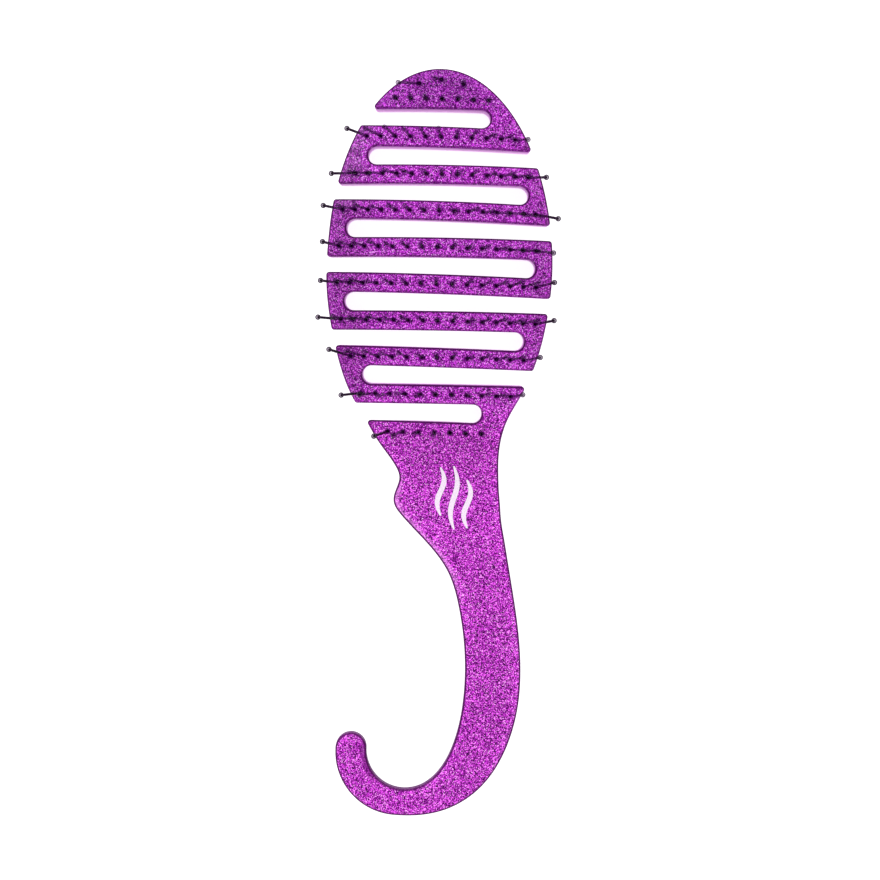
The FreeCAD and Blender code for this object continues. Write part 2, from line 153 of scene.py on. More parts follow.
def rim_points(node):
    """Plan points of a CAD shell's upper rim, counter-clockwise, about the head."""
    mesh = bmesh.new()
    mesh.from_mesh(frame["nodes"][node].data)
    bmesh.ops.remove_doubles(mesh, verts=mesh.verts, dist=WELD)
    mesh.normal_update()
    neighbours = {}
    for edge in mesh.edges:
        if sum(face.normal.z > LOOKS_UP for face in edge.link_faces) == 1:
            a, b = edge.verts
            neighbours.setdefault(a, []).append(b)
            neighbours.setdefault(b, []).append(a)
    loop = [next(iter(neighbours))]
    seen = set(loop)
    onward = neighbours[loop[0]][:1]
    while onward:
        loop.append(onward[0])
        seen.add(onward[0])
        onward = [vert for vert in neighbours[loop[-1]] if vert not in seen]
    points = np.array([(v.co.x / MM - HEAD_X, v.co.y / MM - HEAD_Y) for v in loop])
    mesh.free()
    apart = np.linalg.norm(points - np.roll(points, 1, axis=0), axis=1) > RIM_POINT_GAP
    points = points[apart]
    return points[::-1] if signed_area(points) < 0 else points


def signed_area(points):
    after = np.roll(points, -1, axis=0)
    return float((points[:, 0] * after[:, 1] - after[:, 0] * points[:, 1]).sum()) / 2


def smooth_loop(points, step):
    """Closed curve through the points (centripetal Catmull-Rom), finely sampled."""
    count = len(points)
    out = []
    for index in range(count):
        p0, p1, p2, p3 = (points[(index + k) % count] for k in (-1, 0, 1, 2))
        knots = [0.0]
        for a, b in ((p0, p1), (p1, p2), (p2, p3)):
            knots.append(knots[-1] + max(np.linalg.norm(b - a), 1e-6) ** 0.5)
        t0, t1, t2, t3 = knots
        pieces = max(1, int(math.ceil(np.linalg.norm(p2 - p1) / step)))
        for t in np.linspace(t1, t2, pieces, endpoint=False):
            a1 = (t1 - t) / (t1 - t0) * p0 + (t - t0) / (t1 - t0) * p1
            a2 = (t2 - t) / (t2 - t1) * p1 + (t - t1) / (t2 - t1) * p2
            a3 = (t3 - t) / (t3 - t2) * p2 + (t - t2) / (t3 - t2) * p3
            b1 = (t2 - t) / (t2 - t0) * a1 + (t - t0) / (t2 - t0) * a2
            b2 = (t3 - t) / (t3 - t1) * a2 + (t - t1) / (t3 - t1) * a3
            out.append((t2 - t) / (t2 - t1) * b1 + (t - t1) / (t2 - t1) * b2)
    return np.array(out)


def even_loop(points, step):
    """The same closed curve, sampled at even distances."""
    closed = np.vstack([points, points[:1]])
    run = np.concatenate([[0], np.cumsum(np.linalg.norm(np.diff(closed, axis=0), axis=1))])
    count = int(run[-1] / step)
    at = np.linspace(0, run[-1], count, endpoint=False)
    return np.stack([np.interp(at, run, closed[:, k]) for k in (0, 1)], axis=1)


def spaced_outline(rim):
    """Outline points and inward normals, close together only round the bends."""
    fine = even_loop(smooth_loop(rim, FINE_STEP), FINE_STEP)
    ahead = np.roll(fine, -BEND_REACH, axis=0) - fine
    behind = fine - np.roll(fine, BEND_REACH, axis=0)
    turn = np.abs(np.arctan2(
        ahead[:, 0] * behind[:, 1] - ahead[:, 1] * behind[:, 0],
        (ahead * behind).sum(axis=1)))
    bend = turn / (BEND_REACH * FINE_STEP)
    bend = np.max([np.roll(bend, k) for k in range(-BEND_SPREAD, BEND_SPREAD + 1)], axis=0)
    step = np.clip(TURN_PER_POINT / np.maximum(bend, 1e-4), CLOSEST, WIDEST)
    along = ahead + behind
    along /= np.linalg.norm(along, axis=1)[:, None]
    inward = np.stack([-along[:, 1], along[:, 0]], axis=1)
    chosen = []
    position = 0.0
    while position < len(fine) - 2:
        chosen.append(int(position))
        position += step[int(position)] / FINE_STEP
    return fine[chosen], inward[chosen], fine


# ------------------------------------------------------------ pins

def islands(mesh):
    """The separate solids of a mesh, as arrays of points in millimetres."""
    work = bmesh.new()
    work.from_mesh(mesh)
    bmesh.ops.remove_doubles(work, verts=work.verts, dist=WELD)
    unseen = set(work.verts)
    found = []
    while unseen:
        stack = [unseen.pop()]
        members = []
        while stack:
            vert = stack.pop()
            members.append(vert.co / MM)
            for edge in vert.link_edges:
                other = edge.other_vert(vert)
                if other in unseen:
                    unseen.remove(other)
                    stack.append(other)
        found.append(np.array(members))
    work.free()
    return sorted(found, key=lambda points: tuple(points.mean(axis=0)))


def pin_spots():
    """Where each pin comes out of the front surface, about the head."""
    spots = []
    for name, node in sorted(frame["nodes"].items()):
        if not name.startswith("pins_"):
            continue
        for points in islands(node.data):
            middle = points.mean(axis=0)
            axis = np.linalg.svd(points - middle, full_matrices=False)[2][0]
            axis = axis if axis[2] > 0 else -axis
            place = points[points[:, 2].argmin()] - (HEAD_X, HEAD_Y, 0)
            foot = middle - (HEAD_X, HEAD_Y, 0)
            foot = foot + axis * ((place - foot) @ axis)
            for _ in range(4):
                foot = foot + axis * (front_height(foot[0], foot[1]) - foot[2])
            spots.append(foot[:2])
    return np.array(spots)


# ------------------------------------------------------------ shell meshes

# How much of the dome's slope the walls follow, across and along the brush.
ACROSS_LEAN = 0.3
ALONG_LEAN = 0.8
# Rings of points round a pin: radius, darkness of the nail head seen through the
# plastic, and depth of the dimple.
SPOT_RINGS = ((0.42, 1.0, 0.12), (0.65, 1.0, 0.05), (0.95, 0.6, 0.0), (1.3, 0.0, 0.0))
SPOT_POINTS = 10
# Distances between the inner points of the two shells' caps, and the shares of
# them that inner points keep clear of the outline and of a pin's rings.
FRONT_SPACING = 2.0
BACK_SPACING = 2.5
CLEAR_OF_OUTLINE = 0.6
CLEAR_OF_RINGS = 0.4
# How far a pin's rings keep clear of the outline.
RINGS_TO_OUTLINE = 0.15
# Rows of a honeycomb are this share of its spacing apart.
HONEYCOMB_ROW = 0.87
# Distances from the outline are held at this one.
FAR = 6.0
# Edges that turn by more degrees than this are sharp.
SHARP_ANGLE = 50


def inside(points, polygon):
    """Which points lie inside the polygon, by counting crossings."""
    x, y = points[:, 0][:, None], points[:, 1][:, None]
    x1, y1 = polygon[:, 0][None], polygon[:, 1][None]
    x2, y2 = np.roll(polygon[:, 0], -1)[None], np.roll(polygon[:, 1], -1)[None]
    spans = (y1 > y) != (y2 > y)
    rise = np.where(y2 == y1, 1e-9, y2 - y1)
    crossing = spans & (x < (x2 - x1) * (y - y1) / rise + x1)
    return crossing.sum(axis=1) % 2 == 1


def point_tree(points):
    tree = kdtree.KDTree(len(points))
    for index, point in enumerate(points):
        tree.insert((point[0], point[1], 0), index)
    tree.balance()
    return tree


def away(tree, points):
    """Distance of each point from the nearest point of a tree."""
    return np.array([tree.find((p[0], p[1], 0))[2] for p in points])


def honeycomb(low, high, spacing):
    """Staggered grid of points over a rectangle."""
    rows = []
    row_step = spacing * HONEYCOMB_ROW
    for row in range(int((high[1] - low[1]) / row_step) + 1):
        xs = np.arange(low[0] + spacing / 2 * (row % 2), high[0], spacing)
        rows.append(np.stack([xs, np.full(len(xs), low[1] + row * row_step)], axis=1))
    return np.vstack(rows)


def spot_points(spots):
    """Rings of points round each pin."""
    turns = np.linspace(0, 2 * math.pi, SPOT_POINTS, endpoint=False)
    circle = np.stack([np.cos(turns), np.sin(turns)], axis=1)
    rings = [spots] + [(spots[:, None] + radius * circle).reshape(-1, 2)
                       for radius, _, _ in SPOT_RINGS]
    return np.vstack(rings)


def cap_triangles(ring, spacing, spots):
    """Triangles that fill a ring: its points first, then inner points."""
    grid = honeycomb(ring.min(axis=0), ring.max(axis=0), spacing)
    clear_of_pins = SPOT_RINGS[-1][0] + CLEAR_OF_RINGS * spacing
    grid = grid[away(point_tree(spots), grid) > clear_of_pins]
    ring_tree = point_tree(ring)
    grid = grid[away(ring_tree, grid) > CLEAR_OF_OUTLINE * spacing]
    near = spot_points(spots)
    near = near[away(ring_tree, near) > RINGS_TO_OUTLINE]
    inner = np.vstack([near, grid])
    inner = inner[inside(inner, ring)]
    points = [Vector(p) for p in np.vstack([ring, inner])]
    count = len(ring)
    edges = [(k, (k + 1) % count) for k in range(count)]
    verts, _, faces, origins, _, _ = geometry.delaunay_2d_cdt(points, edges, [], 1, 1e-5)
    return verts, faces, origins


def spot_value(distance, column):
    """Value of one SPOT_RINGS column at a distance from a pin."""
    radii = [ring[0] for ring in SPOT_RINGS]
    return float(np.interp(distance, radii, [ring[column] for ring in SPOT_RINGS]))


def leaned(x, y, z):
    """The walls stand square to the domed front, so lower points shift."""
    depth = front_height(x, y) - z
    head_share = 1 - grip_share(y)
    reach = 0.5
    along = (front_height(x, y + reach) - front_height(x, y - reach)) / (2 * reach)
    across = (front_height(x + reach, y) - front_height(x - reach, y)) / (2 * reach)
    shift = depth * head_share
    return x + shift * across * ACROSS_LEAN, y + shift * along * ALONG_LEAN, z


def build_shell(name, outline, inward, rings, spots, cap_spacing, dimple_side):
    """A closed shell from a stack of rings and a cap at each end.

    rings holds (inset, height, wall) with functions of (x, y), lowest first.
    dimple_side is 1 where pins leave a dimple in the upper cap, else 0.
    """
    count = len(outline)
    outline_tree = point_tree(fine_outline)
    coords, depths, edge_run, walls, nails = [], [], [], [], []

    def add(x, y, z, edge, wall, nail):
        coords.append(leaned(x, y, z))
        depths.append(front_height(x, y) - z)
        edge_run.append(edge)
        walls.append(wall)
        nails.append(nail)

    plans = []
    for inset, height, wall in rings:
        insets = np.array([inset(x, y) for x, y in outline])
        plans.append(outline + inward * insets[:, None])
        for (x, y), depth in zip(plans[-1], insets):
            add(x, y, height(x, y), depth, wall, 0.0)
    faces = []
    for level in range(len(rings) - 1):
        low, high = level * count, (level + 1) * count
        for k in range(count):
            after = (k + 1) % count
            faces.append((low + k, low + after, high + after, high + k))
    spot_tree = point_tree(spots)
    for level, upper in ((0, False), (len(rings) - 1, True)):
        height = rings[level][1]
        verts, triangles, origins = cap_triangles(plans[level], cap_spacing, spots)
        place = []
        for vert, origin in zip(verts, origins):
            on_ring = [o for o in origin if o < count]
            if on_ring:
                place.append(level * count + on_ring[0])
                continue
            place.append(len(coords))
            spot_run = spot_tree.find((vert.x, vert.y, 0))[2]
            dimple = spot_value(spot_run, 2) * dimple_side if upper else 0.0
            edge = min(outline_tree.find((vert.x, vert.y, 0))[2], FAR)
            add(vert.x, vert.y, height(vert.x, vert.y) - dimple, edge, 0.0,
                spot_value(spot_run, 1))
        for triangle in triangles:
            corners = [place[k] for k in triangle]
            a, b, c = (coords[k] for k in corners)
            area = (b[0] - a[0]) * (c[1] - a[1]) - (b[1] - a[1]) * (c[0] - a[0])
            if (area > 0) != upper:
                corners.reverse()
            faces.append(corners)
    placed = [((x + HEAD_X) * MM, (y + HEAD_Y) * MM, z * MM) for x, y, z in coords]
    mesh = bpy.data.meshes.new(name)
    mesh.from_pydata(placed, [], faces)
    mesh.validate()
    for label, values in (("depth", depths), ("edge", edge_run),
                          ("wall", walls), ("nail", nails)):
        layer = mesh.attributes.new(label, "FLOAT", "POINT")
        layer.data.foreach_set("value", np.array(values, np.float32))
    for polygon in mesh.polygons:
        polygon.use_smooth = True
    mesh.set_sharp_from_angle(angle=math.radians(SHARP_ANGLE))
    piece = bpy.data.objects.new(name, mesh)
    bpy.context.scene.collection.objects.link(piece)
    return piece


# Each shell stops this far from the seam, and its edge there has this bevel.
GAP = 0.03
SEAM_BEVEL = 0.15
# Width and depth of the rounded rims: on the head, and what the grip adds.
FRONT_ROUND = ((0.6, 0.55), (1.9, 1.15))
BACK_ROUND = ((0.5, 0.45), (0.9, 0.8))
ROUND_STEPS = 7
# Where the grip's rounder section starts, below the head's middle, and how far
# it takes to be full.
ROUND_START = 56
ROUND_REACH = 22


def round_size(sizes, y):
    """Width and depth of a rounded rim at a place along the brush."""
    share = smooth_step((-y - ROUND_START) / ROUND_REACH)
    return [on_head + added * share for on_head, added in zip(*sizes)]


def rounding_ring(sizes, surface, direction, step):
    """One ring of a rounded rim; direction is 1 on the front and -1 on the back."""
    angle = math.radians(90 * step / ROUND_STEPS)

    def inset(x, y):
        return round_size(sizes, y)[0] * (1 - math.cos(angle))

    def height(x, y):
        return surface(x, y) - direction * round_size(sizes, y)[1] * (1 - math.sin(angle))

    wall = 1.0 if step == 0 else 0.0
    return inset, height, wall


def no_inset(x, y):
    return 0.0


def bevel_inset(x, y):
    return SEAM_BEVEL


def front_rings():
    """Seam, wall and rounded front rim of the front shell."""
    rings = [
        (bevel_inset, lambda x, y: seam_height(x, y) + GAP, 1.0),
        (no_inset, lambda x, y: seam_height(x, y) + GAP + SEAM_BEVEL, 1.0),
    ]
    return rings + [rounding_ring(FRONT_ROUND, front_height, 1, step)
                    for step in range(ROUND_STEPS + 1)]


def back_rings():
    """Rounded back rim, wall and seam of the back cover."""
    rings = [rounding_ring(BACK_ROUND, back_height, -1, step)
             for step in range(ROUND_STEPS, -1, -1)]
    return rings + [
        (no_inset, lambda x, y: seam_height(x, y) - GAP - SEAM_BEVEL, 1.0),
        (bevel_inset, lambda x, y: seam_height(x, y) - GAP, 1.0),
    ]


# ------------------------------------------------------------ emblem

# A printed mark of three wavy strands of hair: for each, its place across the
# grip, its middle along the grip and its length.
STRANDS = [(0.2, -75.4, 16.0), (4.6, -77.5, 21.0), (9.0, -79.6, 16.0)]
STRAND_WAVE = 1.15
STRAND_WIDTH = 1.9
STRAND_STEPS = 48
# The taper is a sine raised to a power, with this much left out at each end.
TAPER_POWER = 0.7
TAPER_CUT = 0.06
INK_LIFT = 0.01
INK_THICKNESS = 0.05


def build_emblem(name):
    """Three tapered wavy strands as thin closed solids on the flat grip."""
    mesh = bmesh.new()
    low = (GRIP_THICKNESS + INK_LIFT) * MM
    high = (GRIP_THICKNESS + INK_LIFT + INK_THICKNESS) * MM
    for across, middle, length in STRANDS:
        rows = []
        for step in range(STRAND_STEPS + 1):
            share = step / STRAND_STEPS
            turn = math.pi * (TAPER_CUT + (1 - 2 * TAPER_CUT) * share)
            half = STRAND_WIDTH / 2 * math.sin(turn) ** TAPER_POWER
            y = middle + length * (0.5 - share)
            x = across + STRAND_WAVE * math.sin(2 * math.pi * share)
            rows.append([mesh.verts.new(((HEAD_X + x + side * half) * MM,
                                         (HEAD_Y + y) * MM, z))
                         for side, z in ((-1, low), (1, low), (1, high), (-1, high))])
        for before, after in zip(rows, rows[1:]):
            for k in range(4):
                mesh.faces.new((before[k], before[(k + 1) % 4],
                                after[(k + 1) % 4], after[k]))
        mesh.faces.new(rows[0][::-1])
        mesh.faces.new(rows[-1])
    bmesh.ops.recalc_face_normals(mesh, faces=mesh.faces)
    data = bpy.data.meshes.new(name)
    mesh.to_mesh(data)
    mesh.free()
    piece = bpy.data.objects.new(name, data)
    bpy.context.scene.collection.objects.link(piece)
    return piece


# ------------------------------------------------------------ materials

# Glitter: flake sizes in millimetres, how much the coarse flakes count, how the
# flakes tip the surface, and how rough they are.
FINE_FLAKE = 0.25
COARSE_FLAKE = 0.7
COARSE_SHARE = 0.08
FLAKE_BUMP_DEPTH = 0.1
FLAKE_BUMP_STRENGTH = 0.3
FLAKE_ROUGHNESS = 0.4
# Reflectance of the flakes, from the darkest to the brightest, in plain purple.
FLAKE_STOPS = [
    (0.0, (0.02, 0.0005, 0.03)),
    (0.35, (0.20, 0.003, 0.24)),
    (0.60, (0.62, 0.026, 0.68)),
    (0.85, (1.0, 0.16, 1.0)),
    (1.0, (1.0, 0.56, 1.0)),
]
# The plastic between the flakes: its colour, and how much of each shell it is.
CLEAR_PURPLE = (0.75, 0.13, 0.80)
SHELL_CLEAR = 0.22
COVER_CLEAR = 0.20
# Specular and coat of the plastic, away from rims and nail heads.
POLISH = 0.12
COAT_ROUGHNESS = 0.08
# Brightness of the plastic along the brush, painted light and shade by place:
# millimetres from the middle of the head, the factor there, and the extra blue.
# The head is painted darker and more violet than the grip.
SHADING_ALONG = [
    (66, 0.54, 1.14), (56, 0.78, 1.12), (42, 0.96, 1.10), (30, 1.00, 1.10),
    (-40, 1.02, 1.08), (-53, 1.03, 1.02), (-66, 1.03, 1.0), (-80, 1.10, 1.0),
    (-100, 1.05, 1.0), (-130, 0.97, 1.0), (-188, 1.03, 1.0),
]
# Brightness everywhere, what soft clouds of this size add, and the painted light
# added near the outline, as if light shone through the thin rim. These are double,
# because the shading along the brush gives half.
GLOW_BASE = 1.84
GLOW_CLOUD = 0.32
CLOUD_SIZE = 7.0
EDGE_LIGHT = 0.28
EDGE_LIGHT_REACH = (5.0, 1.2)
# Painted shade: how much darker the two sides of the head are, and where that starts and is
# full.
LEFT_SHADE = 0.38
LEFT_SIDE = (-20, -30)
RIGHT_SHADE = 0.27
RIGHT_SIDE = (24, 34)
# Where the head's looks start on the neck and are full. Its painted shade on the sides starts
# later.
HEAD_LOOK = (-66, -46)
HEAD_SIDES_LOOK = (-56, -40)
# The nail heads, seen through the plastic.
NAIL_PURPLE = (0.040, 0.0002, 0.075)
NAIL_STRENGTH = 0.88
# The shaded strip inside the hook's tip: its radius and its place across the
# hook, where it starts and where it is full, from the middle of the hook's arc.
SHADE_PURPLE = (0.22, 0.006, 0.25)
SHADE_STRENGTH = 0.78
SHADE_RADIUS = (15.4, 14.0)
SHADE_ACROSS = (-9.5, -11.5)
# Painted light on the head's walls seen from above, by depth below the front in
# millimetres: light that runs through the plastic is painted coming out near the
# bottom, and the walls glow with it.
WALL_STOPS = [
    (0.5, (0.46, 0.09, 0.50)),
    (2.0, (0.64, 0.26, 0.66)),
    (3.4, (0.80, 0.47, 0.82)),
    (5.0, (1.0, 0.80, 1.0)),
]
WALL_STRENGTH = 0.95
WALL_GLOW = 0.30
# Painted shade: how much darker a wall is when it is seen from the side.
SIDE_WALL_SHADE = 0.38
# The dark line of painted shade on the rounded rims: how far from the outline it
# ends and is full, and how strong it is at most, where the head's rims face the
# handle, and where the hook's rims face the head.
RIM_SHADE_PURPLE = (0.07, 0.005, 0.08)
RIM_LINE = (0.72, 0.46)
RIM_STRENGTH = 0.97
RIM_HEAD_TOWARDS = 0.62
RIM_HOOK_BACK = 0.90
HOOK_LOOK = (-128, -146)
# A soft light along the thumb rest's edge, and where it comes in at its two ends.
THUMB_LIGHT = (1.0, 0.42, 1.0)
THUMB_STRENGTH = 0.4
THUMB_TOP = (-66, -78)
THUMB_BOTTOM = (-116, -98)
# How much a surface's normal points a way, where a look starts and is full.
FACES_HANDLE = (0.05, -0.35)
FACES_HEAD = (0.1, 0.6)
FACES_LEFT = (-0.02, -0.4)
# How much the line of sight points up, where the looks from above start and are
# full.
SIGHT_FROM_ABOVE = (0.78, 0.94)
# How see-through shafts and beads are over the head, when seen from above, and
# where that starts and is full, as a share of the head's oval.
SHAFT_CLEAR = 0.58
BEAD_CLEAR = 0.82
OVER_HEAD = (1.02, 0.94)
# Nylon pins: grain size, its darkest and lightest colour, and what light takes
# on where it passes a shaft.
NYLON_GRAIN = 0.5
NYLON_STOPS = [(0.35, (0.004, 0.0006, 0.006)), (0.7, (0.018, 0.002, 0.024))]
NYLON_ROUGHNESS = 0.5
NYLON_SPECULAR = 0.07
NYLON_TINT = (0.86, 0.74, 0.9)
# Resin beads: grain size, the smoke in them, and the dark of their edge.
RESIN_GRAIN = 0.6
RESIN_SMOKE = [(0.3, (0.74, 0.68, 0.76)), (0.7, (0.86, 0.80, 0.88))]
RESIN_DARK = (0.030, 0.016, 0.036)
RESIN_ROUGHNESS = 0.2
RESIN_SPECULAR = 0.2
# How solid a bead is in its middle, what its edge adds, and where that starts
# and is full, from 0 in the middle to 1 at the very edge.
BEAD_MIDDLE = 0.20
BEAD_EDGE = 0.72
BEAD_EDGE_FACING = (0.08, 0.32)
# White print.
INK_GRAIN = 0.4
INK_STOPS = [(0.35, (0.72, 0.58, 0.74)), (0.6, (0.84, 0.75, 0.85))]
INK_ROUGHNESS = 0.5
INK_SPECULAR = 0.2

# The Mix node keeps its colour sockets after those for numbers and vectors.
MIX_COLOUR_A = 6
MIX_COLOUR_B = 7
MIX_COLOUR_OUT = 2


class Graph:
    """The node tree of a new material, with a short call for each kind of node.

    A value given to a call is a socket, a number or a colour.
    """

    def __init__(self, name):
        self.material = bpy.data.materials.new(name)
        self.material.use_nodes = True
        self.material.node_tree.nodes.clear()

    def add(self, kind):
        return self.material.node_tree.nodes.new("ShaderNode" + kind)

    def feed(self, socket, value):
        if hasattr(value, "links"):
            self.material.node_tree.links.new(value, socket)
        elif isinstance(value, tuple) and socket.type == "RGBA":
            socket.default_value = (*value, 1)
        else:
            socket.default_value = value

    def finish(self, shader):
        """Give the material its shader, and hand it over."""
        self.feed(self.add("OutputMaterial").inputs[0], shader)
        return self.material

    def place(self):
        """Where a point is on the brush."""
        return self.add("TexCoord").outputs["Object"]

    def attribute(self, name):
        node = self.add("Attribute")
        node.attribute_name = name
        return node.outputs["Fac"]

    def axis(self, vector, name):
        split = self.add("SeparateXYZ")
        self.feed(split.inputs[0], vector)
        return split.outputs[name]

    def maths(self, operation, *values):
        node = self.add("Math")
        node.operation = operation
        for socket, value in zip(node.inputs, values):
            self.feed(socket, value)
        return node.outputs[0]

    def times(self, first, *others):
        for other in others:
            first = self.maths("MULTIPLY", first, other)
        return first

    def without(self, value):
        """What is left of 1."""
        return self.maths("SUBTRACT", 1.0, value)

    def line(self, value, slope, base):
        """base plus slope times the value."""
        return self.maths("MULTIPLY_ADD", value, slope, base)

    def share(self, value, start, end, curve="LINEAR"):
        """0 at the start of a range and 1 at its end, held outside it."""
        node = self.add("MapRange")
        node.interpolation_type = curve
        self.feed(node.inputs["From Min"], start)
        self.feed(node.inputs["From Max"], end)
        self.feed(node.inputs["Value"], value)
        return node.outputs["Result"]

    def fade(self, value, start, end):
        """As share(), with soft ends."""
        return self.share(value, start, end, "SMOOTHSTEP")

    def vector_maths(self, operation, first, second=None):
        node = self.add("VectorMath")
        node.operation = operation
        self.feed(node.inputs[0], first)
        if second:
            self.feed(node.inputs[1], second)
        return node

    def ramp(self, value, stops):
        """Colour of a value, from (position, colour) stops."""
        node = self.add("ValToRGB")
        bands = node.color_ramp
        while len(bands.elements) > 1:
            bands.elements.remove(bands.elements[-1])
        bands.elements[0].position = stops[0][0]
        bands.elements[0].color = (*stops[0][1], 1)
        for position, colour in stops[1:]:
            band = bands.elements.new(position)
            band.color = (*colour, 1)
        self.feed(node.inputs[0], value)
        return node.outputs[0]

    def mix(self, factor, first, second, blend="MIX"):
        """Mix two colours."""
        node = self.add("Mix")
        node.data_type = "RGBA"
        node.blend_type = blend
        self.feed(node.inputs["Factor"], factor)
        self.feed(node.inputs[MIX_COLOUR_A], first)
        self.feed(node.inputs[MIX_COLOUR_B], second)
        return node.outputs[MIX_COLOUR_OUT]

    def scale(self, colour, factor):
        """A colour times a number or another colour."""
        return self.mix(1.0, colour, factor, "MULTIPLY")

    def noise(self, size):
        """Soft noise with grains of a size in millimetres."""
        node = self.add("TexNoise")
        node.inputs["Scale"].default_value = 1 / (size * MM)
        self.feed(node.inputs["Vector"], self.place())
        return node.outputs["Fac"]

    def flakes(self, size):
        """Three random numbers for each flake of a size in millimetres."""
        cell = self.add("TexVoronoi")
        cell.inputs["Scale"].default_value = 1 / (size * MM)
        self.feed(cell.inputs["Vector"], self.place())
        parts = self.add("SeparateColor")
        self.feed(parts.inputs[0], cell.outputs["Color"])
        return parts.outputs

    def surface(self, colour, roughness, specular):
        """A principled shader, as a node."""
        node = self.add("BsdfPrincipled")
        self.feed(node.inputs["Base Color"], colour)
        self.feed(node.inputs["Roughness"], roughness)
        self.feed(node.inputs["Specular IOR Level"], specular)
        return node

    def clear(self, colour):
        """A shader that light passes straight through."""
        node = self.add("BsdfTransparent")
        self.feed(node.inputs[0], colour)
        return node.outputs[0]

    def mix_shaders(self, factor, first, second):
        node = self.add("MixShader")
        for socket, value in zip(node.inputs, (factor, first, second)):
            self.feed(socket, value)
        return node.outputs[0]


def seen_from_above(graph):
    """1 where the line of sight runs nearly straight down, 0 from the sides."""
    sight = graph.add("NewGeometry").outputs["Incoming"]
    return graph.fade(graph.axis(sight, "Z"), *SIGHT_FROM_ABOVE)


def on_brush(graph, reach):
    """0 to 1 along the brush, between two distances from the head's middle."""
    start, end = reach
    return graph.fade(graph.axis(graph.place(), "Y"), (HEAD_Y + start) * MM, (HEAD_Y + end) * MM)


def across_brush(graph, middle, reach):
    """0 to 1 across the brush, between two distances from a middle."""
    start, end = reach
    return graph.fade(graph.axis(graph.place(), "X"), (middle + start) * MM, (middle + end) * MM)


def plan_run(graph, middle, scale):
    """Distance from a middle in the XY plane, with a scale for each axis."""
    offset = graph.vector_maths("SUBTRACT", graph.place(), (*middle, 0))
    scaled = graph.vector_maths("MULTIPLY", offset.outputs[0], (*scale, 0))
    return graph.vector_maths("LENGTH", scaled.outputs[0]).outputs["Value"]


def side_shade(graph):
    """Brightness factor of painted shade that darkens both sides of the head, the left more."""
    left = across_brush(graph, HEAD_X, LEFT_SIDE)
    right = across_brush(graph, HEAD_X, RIGHT_SIDE)
    loss = graph.line(left, LEFT_SHADE, graph.times(right, RIGHT_SHADE))
    return graph.without(graph.times(loss, on_brush(graph, HEAD_SIDES_LOOK)))


def shading_along(graph):
    """Half the brightness of the plastic, from the painted light and shade along the brush."""
    first, last = SHADING_ALONG[-1][0], SHADING_ALONG[0][0]
    stops = [((y - first) / (last - first), (tone / 2, tone / 2, tone / 2 * blue))
             for y, tone, blue in reversed(SHADING_ALONG)]
    along = graph.share(graph.axis(graph.place(), "Y"),
                        (HEAD_Y + first) * MM, (HEAD_Y + last) * MM)
    return graph.ramp(along, stops)


def hook_shade(graph):
    """1 in the shaded strip on the inner side of the hook's tip."""
    start, full = SHADE_RADIUS
    strip = graph.fade(plan_run(graph, hook_place[:2], (1, 1)), start * MM, full * MM)
    return graph.times(strip, across_brush(graph, hook_place[0] / MM, SHADE_ACROSS))


def wall_light(graph):
    """Painted light on the head's walls, and the share of the way down them."""
    low, high = WALL_STOPS[0][0], WALL_STOPS[-1][0]
    depth = graph.share(graph.attribute("depth"), low, high)
    stops = [((mm - low) / (high - low), colour) for mm, colour in WALL_STOPS]
    return graph.ramp(depth, stops), depth


def rim_shade_strength(graph, normal):
    """Strength of the rim's painted shade line, by its place and the way it faces."""
    towards_handle = graph.fade(graph.axis(normal, "Y"), *FACES_HANDLE)
    towards_head = graph.fade(graph.axis(normal, "Y"), *FACES_HEAD)
    head_loss = graph.times(towards_handle, on_brush(graph, HEAD_LOOK),
                            RIM_STRENGTH - RIM_HEAD_TOWARDS)
    hook_loss = graph.times(towards_head, on_brush(graph, HOOK_LOOK),
                            RIM_STRENGTH - RIM_HOOK_BACK)
    on_head = graph.maths("SUBTRACT", RIM_STRENGTH, head_loss)
    return graph.maths("SUBTRACT", on_head, hook_loss)


def thumb_light(graph, normal):
    """1 on the left-facing edge of the thumb rest and just below it."""
    left = graph.fade(graph.axis(normal, "X"), *FACES_LEFT)
    return graph.times(left, on_brush(graph, THUMB_TOP), on_brush(graph, THUMB_BOTTOM))


def glitter_colour(graph, fine, edge):
    """Colour of the flakes, with soft clouds, painted light near the outline, and the painted
    light and shade that go by place.
    """
    coarse = graph.flakes(COARSE_FLAKE)
    blended = graph.line(coarse[0], COARSE_SHARE, graph.times(fine[0], 1 - COARSE_SHARE))
    clouds = graph.line(graph.noise(CLOUD_SIZE), GLOW_CLOUD, GLOW_BASE)
    # Painted light: the plastic is lighter near the outline, as if light shone through the thin
    # rim.
    near_edge = graph.fade(edge, *EDGE_LIGHT_REACH)
    glow = graph.line(near_edge, EDGE_LIGHT, clouds)
    # The flakes take the painted light and shade along the brush.
    colour = graph.scale(graph.ramp(blended, FLAKE_STOPS), shading_along(graph))
    # Painted shade darkens both sides of the head.
    return graph.scale(colour, graph.times(glow, side_shade(graph)))


